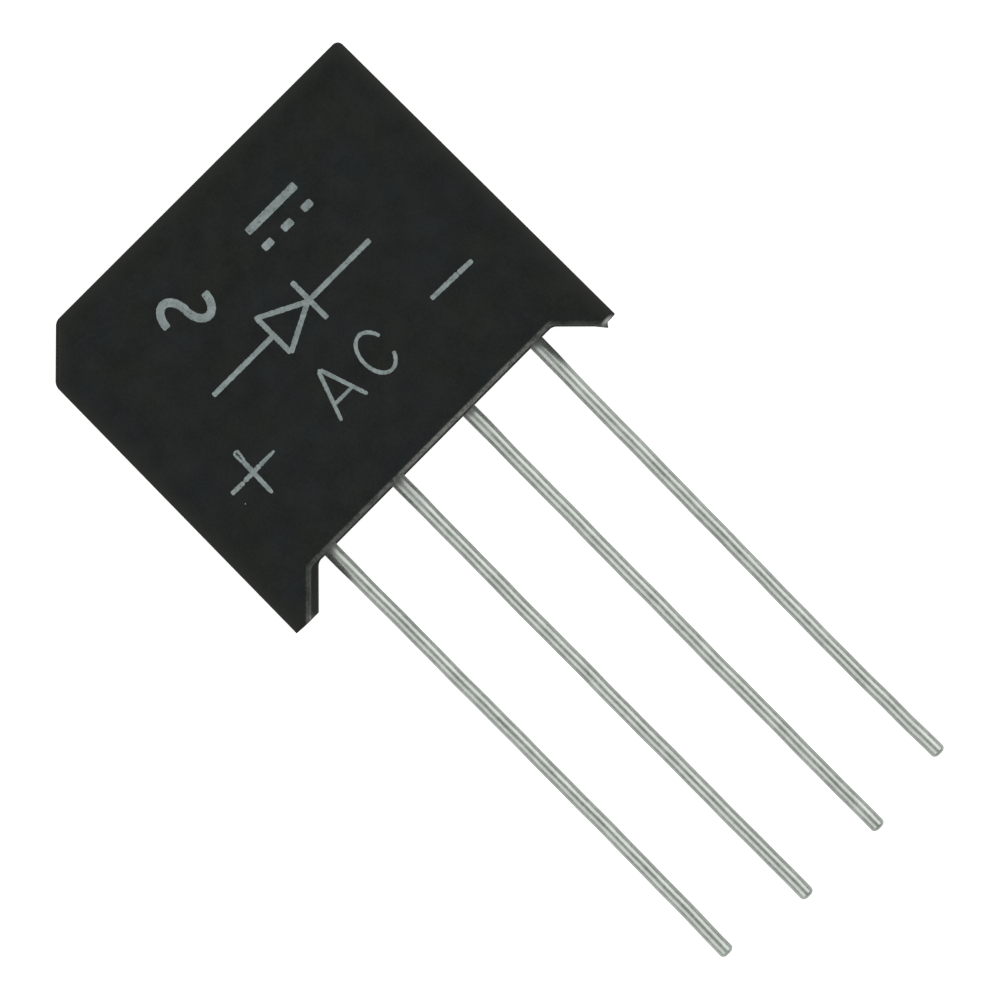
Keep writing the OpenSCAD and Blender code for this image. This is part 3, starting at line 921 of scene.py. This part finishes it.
# plain circuit signs: a sine wave, a steady line over dashes, and a diode on its line
sineWave = arcPoints((-3.47, 3.46), (0.50, 0.77), 180, 0) + arcPoints((-2.48, 3.46), (0.50, 0.77), 180, 360)
circuitSigns = {
    "mark_sine": [(0.36, 0.36, sineWave)],
    "mark_steady": [
        (0.36, 0.36, [(0.84, 3.92), (3.47, 3.92)]),
        (0.34, 0.34, [(0.84, 3.03), (1.34, 3.03)]),
        (0.34, 0.34, [(1.90, 3.03), (2.41, 3.03)]),
        (0.34, 0.34, [(2.98, 3.03), (3.47, 3.03)]),
    ],
    "mark_diode": [
        (0.23, 0.23, [(-4.56, 0.37), (-1.29, 0.37)]),
        (0.23, 0.23, [(-1.24, -0.58), (-1.24, 1.31), (0.62, 0.37), (-1.24, -0.58)]),
        (0.23, 0.23, [(0.71, -0.62), (0.71, 1.35)]),
        (0.23, 0.23, [(0.74, 0.37), (4.02, 0.37)]),
    ],
}


def placeOnFront(piece):  # turned to the slope of the front, just into the surface
    lift = frontZ(0) - markShape["sink"]
    matrix = Matrix.Translation((*markShape["shift"], lift)) @ Matrix.Rotation(-draft, 4, "X")
    piece.data.transform(matrix)


def makeStroke(startWidth, endWidth, points, chance):  # a flattened tube with an uneven edge
    width = max(startWidth, endWidth)
    deselectAll()
    bpy.ops.curve.primitive_bezier_curve_add()
    stroke = bpy.context.object
    spline = stroke.data.splines[0]
    stroke.data.splines.remove(spline)
    line = stroke.data.splines.new("POLY")
    steps = []
    for (ax, ay), (bx, by) in zip(points, points[1:]):
        count = max(1, round(math.hypot(bx - ax, by - ay) * mm / markShape["step"]))
        steps += [(ax + (bx - ax) * i / count, ay + (by - ay) * i / count) for i in range(count)]
    steps.append(points[-1])
    line.points.add(len(steps) - 1)
    for i, (x, y) in enumerate(steps):
        line.points[i].co = (x * mm, y * mm, 0, 1)
        here = (startWidth + (endWidth - startWidth) * i / max(1, len(steps) - 1)) * mm / 2
        corner = min(here, markShape["endRadius"])
        toEnd = min(1.0, min(i, len(steps) - 1 - i) * markShape["step"] / corner + 0.15)
        here -= corner * (1 - math.sqrt(1 - (1 - toEnd) ** 2)) + markShape["rag"] * chance.uniform(-1, 1)
        line.points[i].radius = here / (width * mm / 2)
    stroke.data.dimensions = "3D"
    stroke.data.bevel_depth = width * mm / 2
    stroke.data.bevel_resolution = 3
    stroke.data.use_fill_caps = True
    bpy.ops.object.convert(target="MESH")
    stroke = bpy.context.object
    startEdit(stroke)
    bpy.ops.mesh.select_all(action="SELECT")
    flatter = markShape["thickness"] / (width * mm / 2)
    bpy.ops.transform.resize(value=(1, 1, flatter), center_override=(0, 0, 0))
    endEdit()
    facesOutward(stroke)
    return stroke


def makeMark(name, strokes, seed):
    chance = random.Random(seed)
    parts = [makeStroke(*stroke, chance) for stroke in strokes]
    deselectAll()
    for part in parts:
        part.select_set(True)
    bpy.context.view_layer.objects.active = parts[0]
    if len(parts) > 1:
        bpy.ops.object.join()
    mark = bpy.context.object
    placeOnFront(mark)
    smoothByAngle(mark, 60)
    return finishPiece(mark, name, printInk)


seed = 31
for name, strokes in {**polarityMarks, **letterMarks, **circuitSigns}.items():
    makeMark(name, strokes, seed)
    seed += 1
print("marks printed")


for row in frame["record"]["subparts"]:
    if row["material_slot"] in hiddenMaterials:
        piece = frame["nodes"][row["node"]]
        piece.data.materials.clear()
        piece.data.materials.append(hiddenMaterials[row["material_slot"]])
print("sealed pieces finished")


studio = {
    "middle": Vector((0, -11.5, 0)) * mm,         # of the floor, and what the lamps point at
    "floorSize": 1.6,
    "floorGap": 0.02 * mm,                        # under the part
    "floorGlow": 0.84,                            # what the camera sees of it besides its lit colour
    "floorSheen": 0.10,                           # and what shiny surfaces see besides it
    "floorColour": (0.62, 0.62, 0.62),
    "worldLight": 0.62,
    "worldSheen": 0.40,                           # what shiny surfaces see of the room between the lamps
    "lampAngle": 45.0,                            # from straight above
    "lampDistance": 0.5,
    "lampSize": (0.8, 0.42),                      # along the wires, across them
    "leftRadiance": 0.545,
    "rightRadiance": 0.717,
}


def makeFloor(spec):
    deselectAll()
    under = spec["middle"] - Vector((0, 0, spec["floorGap"]))
    bpy.ops.mesh.primitive_plane_add(size=spec["floorSize"], location=under)
    floor = bpy.context.object
    floor.name = "floor"
    material = bpy.data.materials.new("paleFloor")
    material.use_nodes = True
    tree = material.node_tree
    tree.nodes.clear()
    output = addNode(tree, "ShaderNodeOutputMaterial", (600, 0))
    matt = addNode(tree, "ShaderNodeBsdfDiffuse", (0, 100))
    matt.inputs["Color"].default_value = (*spec["floorColour"], 1)
    glow = addNode(tree, "ShaderNodeEmission", (0, -100))
    glow.inputs["Color"].default_value = (1, 1, 1, 1)
    path = addNode(tree, "ShaderNodeLightPath", (-600, 0))
    seen = mathNode(tree, "MAXIMUM", (-400, 0), path.outputs["Is Camera Ray"],
                    path.outputs["Is Transmission Ray"])
    seen = mathNode(tree, "MULTIPLY", (-250, 0), seen, spec["floorGlow"])
    shiny = mathNode(tree, "MULTIPLY", (-250, -150), path.outputs["Is Glossy Ray"], spec["floorSheen"])
    tree.links.new(mathNode(tree, "MAXIMUM", (-100, -50), seen, shiny), glow.inputs["Strength"])
    both = addNode(tree, "ShaderNodeAddShader", (300, 0))
    tree.links.new(matt.outputs[0], both.inputs[0])
    tree.links.new(glow.outputs[0], both.inputs[1])
    tree.links.new(both.outputs[0], output.inputs["Surface"])
    floor.data.materials.append(material)
    floor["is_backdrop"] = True


def makeWorld(spec):
    world = bpy.data.worlds.new("studio")
    bpy.context.scene.world = world
    world.use_nodes = True
    tree = world.node_tree
    tree.nodes.clear()
    output = addNode(tree, "ShaderNodeOutputWorld", (600, 0))
    back = addNode(tree, "ShaderNodeBackground", (300, 0))
    path = addNode(tree, "ShaderNodeLightPath", (-600, 0))
    level = rangeNode(tree, (-300, 0), path.outputs["Is Glossy Ray"], 0, 1,
                      spec["worldLight"], spec["worldSheen"])
    level = mathNode(tree, "MAXIMUM", (-100, 0), level, path.outputs["Is Camera Ray"])
    tree.links.new(level, back.inputs["Strength"])
    tree.links.new(back.outputs[0], output.inputs["Surface"])


def makeLamp(name, spec, side, radiance):
    angle = math.radians(spec["lampAngle"]) * side
    away = Vector((math.sin(angle), 0, math.cos(angle)))
    data = bpy.data.lights.new(name, "AREA")
    data.shape = "RECTANGLE"
    data.size, data.size_y = spec["lampSize"]
    data.energy = radiance * math.pi * data.size * data.size_y
    lamp = bpy.data.objects.new(name, data)
    bpy.context.scene.collection.objects.link(lamp)
    lamp.location = spec["middle"] + away * spec["lampDistance"]
    lamp.rotation_euler = away.to_track_quat("Z", "Y").to_euler()


view = {
    "target": Vector((0.42, -10.3, 2.86)) * mm,
    "distance": 0.195,
    "tiltRight": 1.9,                             # degrees towards +X from straight above
    "tiltDown": -0.2,                             # degrees towards the leads
    "across": 39.32 * mm,                         # width of the view at the target
    "up": Vector((0.7049, 0.7093, 0)),            # the part lies turned by about 45 degrees
}


def makeCamera(spec):
    aside, down = (math.tan(math.radians(spec[tilt])) for tilt in ("tiltRight", "tiltDown"))
    back = Vector((aside, -down, 1)).normalized()
    right = spec["up"].cross(back).normalized()
    up = back.cross(right)
    data = bpy.data.cameras.new("camera")
    data.sensor_width = 36
    data.lens = 36 * spec["distance"] / spec["across"]
    data.clip_start, data.clip_end = 0.01, 10
    camera = bpy.data.objects.new("camera", data)
    bpy.context.scene.collection.objects.link(camera)
    turn = Matrix((right, up, back)).transposed().to_4x4()
    camera.matrix_world = Matrix.Translation(spec["target"] + back * spec["distance"]) @ turn
    bpy.context.scene.camera = camera


makeFloor(studio)
makeWorld(studio)
makeLamp("lampLeft", studio, -1, studio["leftRadiance"])
makeLamp("lampRight", studio, 1, studio["rightRadiance"])
makeCamera(view)
bpy.context.scene.view_settings.view_transform = "Standard"
print("studio set")

deselectAll()
low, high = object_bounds()
visualSize, cadSize = ([round(v / mm, 3) for v in size] for size in (high - low, cadHigh - cadLow))
print("size", visualSize, "mm against", cadSize)
